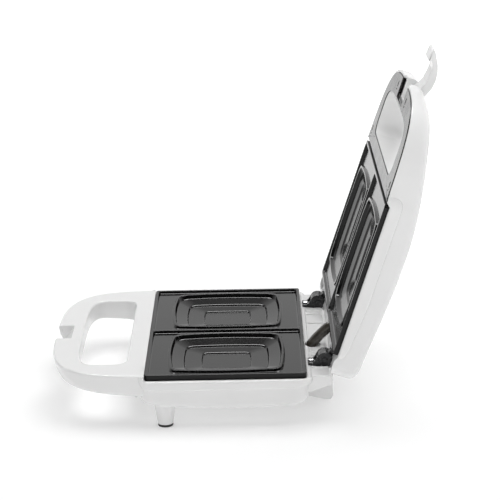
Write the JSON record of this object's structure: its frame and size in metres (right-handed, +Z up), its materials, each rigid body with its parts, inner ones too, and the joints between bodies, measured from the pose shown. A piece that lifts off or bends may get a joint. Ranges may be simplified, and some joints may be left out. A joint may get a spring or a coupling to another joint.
{
  "type": "sandwich toaster",
  "caption": "Two-slice sandwich toaster standing open: white clamshell housing with loop handle, black ribbed non-stick plates, rear hinges and a front latch.",
  "frame": {"origin": "centre of the bounding box's bottom, on the table, lid open", "axes": "+Z up, -Y towards the handle, +Y towards the hinge, X across"},
  "size_m": [0.218, 0.3095, 0.2756],
  "materials": {
    "white_shell": "glossy moulded white plastic",
    "panel_black": "dark smooth moulded plastic",
    "nonstick_plate": "black non-stick coating on cast aluminium",
    "bracket_black": "black painted steel",
    "plated_steel": "zinc-plated steel",
    "element_steel": "heat-darkened steel sheath",
    "reflector_sheet": "bright aluminised sheet",
    "rubber": "matt black rubber",
    "sleeve_black": "glossy heat-proof sleeve",
    "ceramic_body": "cream ceramic",
    "lead_braid": "glass-fibre braid",
    "lamp_glass": "neon lamp glass",
    "lens_red": "clear red lens",
    "lens_green": "clear green lens"
  },
  "bodies": {
    "base": {"base_housing": "white_shell", "base_handle_cover": "white_shell", "rear_stand": "white_shell", "front_foot_pads": "rubber", "rear_foot_pads": "rubber", "lower_plate": "nonstick_plate", "lower_heating_element": "element_steel", "lower_element_clamps": "plated_steel", "lower_reflector": "reflector_sheet", "lower_plate_screws": "plated_steel", "thermostat": "ceramic_body", "thermal_fuse": "ceramic_body", "terminal_block": "ceramic_body", "base_leads": "lead_braid", "cord_inlet_bushing": "rubber", "hinge_base_bracket_right": "bracket_black", "hinge_base_bracket_left": "bracket_black", "hinge_pin_right": "plated_steel", "hinge_pin_left": "plated_steel", "bracket_screws_base": "plated_steel", "stand_screws": "plated_steel", "cover_screws": "plated_steel", "wire_conduit": "sleeve_black"},
    "lid": {"lid_housing": "white_shell", "lid_handle_panel": "panel_black", "upper_plate": "nonstick_plate", "upper_heating_element": "element_steel", "upper_element_clamps": "plated_steel", "upper_reflector": "reflector_sheet", "upper_plate_screws": "plated_steel", "hinge_lid_bracket_right": "bracket_black", "hinge_lid_bracket_left": "bracket_black", "bracket_screws_lid": "plated_steel", "pilot_lamp_red": "lamp_glass", "pilot_lamp_green": "lamp_glass", "lamp_lens_red": "lens_red", "lamp_lens_green": "lens_green", "lid_leads": "lead_braid", "latch_pin": "plated_steel"},
    "latch": {"latch": "white_shell"}
  },
  "joints": [
    {"name": "lid_hinge", "type": "hinge", "parent": "base", "child": "lid", "pos_m": [0, 0.06224, 0.044], "axis": [1, 0, 0], "range_deg": [0, 108.4], "deforming": ["wire_conduit"]},
    {"name": "latch_hinge", "type": "hinge", "parent": "lid", "child": "latch", "pos_m": [0, 0.1407, 0.24027], "axis": [1, 0, 0], "range_deg": [0, 90]}
  ]
}
